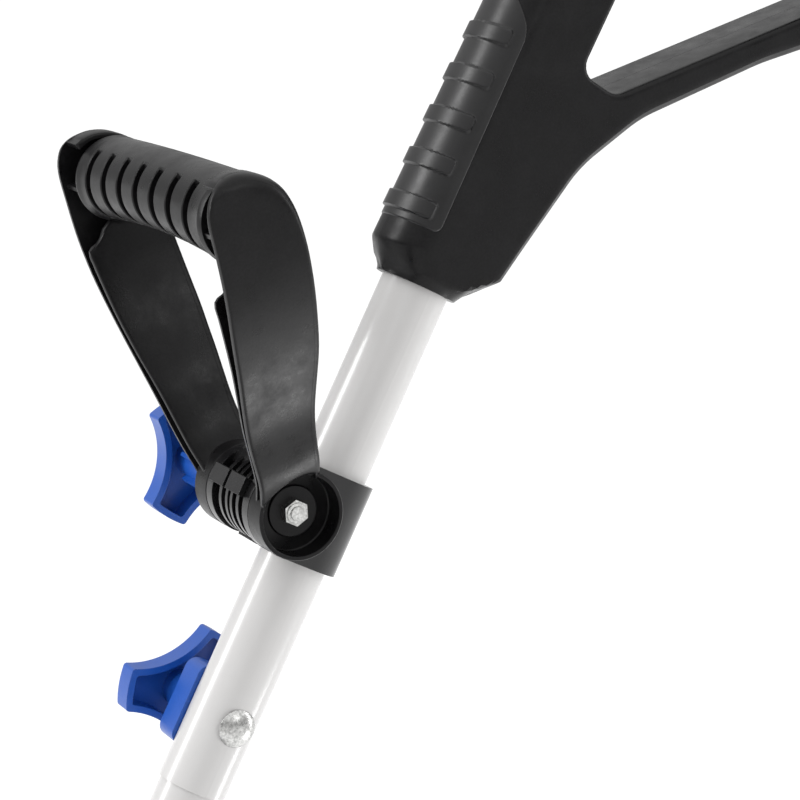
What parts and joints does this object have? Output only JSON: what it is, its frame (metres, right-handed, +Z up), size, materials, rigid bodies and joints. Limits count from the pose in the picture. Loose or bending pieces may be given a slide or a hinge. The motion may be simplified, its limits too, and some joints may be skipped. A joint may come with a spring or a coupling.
{
  "type": "electric snow shovel",
  "caption": "Corded electric snow shovel: powered scoop with paddle rotor, leaning two-piece tube, sliding and tilting assist handle, and closed-loop rear handle.",
  "frame": {"origin": "middle of the flat sole on the ground, on the machine's centre plane", "axes": "+Z up, -Y towards the open mouth of the scoop, +X the user's left"},
  "size_m": [0.3607, 0.9069, 1.007],
  "materials": {
    "blue_plastic": "satin moulded blue plastic",
    "black_plastic": "fine-grained matte black plastic",
    "grey_plastic": "plain dark grey plastic",
    "soft_grip": "soft black overmould",
    "belt_rubber": "black ribbed belt",
    "paddle_rubber": "black reinforced rubber",
    "cable_jacket": "smooth black jacket",
    "painted_tube": "light warm grey gloss paint",
    "zinc_steel": "zinc-plated steel",
    "aluminium": "turned aluminium",
    "brass": "plated brass"
  },
  "bodies": {
    "machine": {"scoop_housing": "blue_plastic", "scraper_bar": "grey_plastic", "scraper_screws": "zinc_steel", "rotor_bearing_left": "zinc_steel", "rotor_bearing_right": "zinc_steel", "bearing_cap": "black_plastic", "drive_belt": "belt_rubber", "belt_cover": "black_plastic", "belt_cover_screws": "zinc_steel", "motor_can": "zinc_steel", "motor_screws": "zinc_steel", "motor_cover": "black_plastic", "motor_base": "black_plastic", "cover_screws": "zinc_steel", "pole_socket": "black_plastic", "socket_bolt": "zinc_steel", "socket_nut": "zinc_steel", "lower_tube": "painted_tube", "upper_tube": "painted_tube", "joint_bolt": "zinc_steel", "joint_saddle": "blue_plastic", "inner_cable": "cable_jacket", "soft_grip": "soft_grip", "handle_shell_left": "black_plastic", "handle_shell_right": "black_plastic", "handle_screws": "zinc_steel", "trigger_pin": "zinc_steel", "trigger_spring": "zinc_steel", "lock_spring": "zinc_steel", "switch_body": "grey_plastic", "power_inlet": "grey_plastic", "inlet_blades": "brass"},
    "rotor": {"rotor_shaft": "zinc_steel", "rotor_core": "black_plastic", "paddle_left_a": "paddle_rubber", "paddle_left_b": "paddle_rubber", "paddle_right_a": "paddle_rubber", "paddle_right_b": "paddle_rubber", "paddle_screws": "zinc_steel", "rotor_pulley": "aluminium"},
    "motor_rotor": {"motor_shaft": "zinc_steel", "motor_pulley": "aluminium", "motor_fan": "black_plastic"},
    "joint_knob": {"joint_knob": "blue_plastic", "joint_knob_nut": "zinc_steel"},
    "assist_clamp": {"clamp_body": "black_plastic"},
    "assist_handle": {"assist_handle": "black_plastic", "pivot_nut": "zinc_steel", "assist_spacer": "blue_plastic"},
    "assist_knob": {"assist_knob": "blue_plastic", "pivot_bolt": "zinc_steel"},
    "trigger": {"trigger": "black_plastic"},
    "lock_button": {"lock_button": "blue_plastic"}
  },
  "joints": [
    {"name": "rotor_spin", "type": "hinge", "parent": "machine", "child": "rotor", "pos_m": [0, -0.085, 0.085], "axis": [1, 0, 0], "continuous": true},
    {"name": "motor_spin", "type": "hinge", "parent": "machine", "child": "motor_rotor", "pos_m": [0, 0.028, 0.122], "axis": [1, 0, 0], "continuous": true},
    {"name": "joint_knob_turn", "type": "hinge", "parent": "machine", "child": "joint_knob", "pos_m": [0, 0.33218, 0.58641], "axis": [-1, 0, 0], "continuous": true},
    {"name": "assist_slide", "type": "slide", "parent": "machine", "child": "assist_clamp", "axis": [0, 0.4617, 0.887], "range_m": [-0.04, 0.075]},
    {"name": "assist_tilt", "type": "hinge", "parent": "assist_clamp", "child": "assist_handle", "pos_m": [0, 0.35474, 0.68064], "axis": [1, 0, 0], "range_deg": [-30, 75]},
    {"name": "assist_knob_turn", "type": "hinge", "parent": "assist_clamp", "child": "assist_knob", "pos_m": [0, 0.35474, 0.68064], "axis": [-1, 0, 0], "continuous": true},
    {"name": "trigger_pull", "type": "hinge", "parent": "machine", "child": "trigger", "pos_m": [0, 0.57715, 0.9617], "axis": [1, 0, 0], "range_deg": [0, 10], "stiffness_Nm_per_rad": 0.6, "springref_deg": -8.59, "deforming": ["trigger_spring"]},
    {"name": "lock_press", "type": "slide", "parent": "machine", "child": "lock_button", "axis": [-1, 0, 0], "range_m": [0, 0.004], "stiffness_N_per_m": 400, "springref_m": -0.002, "deforming": ["lock_spring"]}
  ],
  "couplings": [
    {"joint": "motor_spin", "follows": "rotor_spin", "ratio": 3}
  ]
}
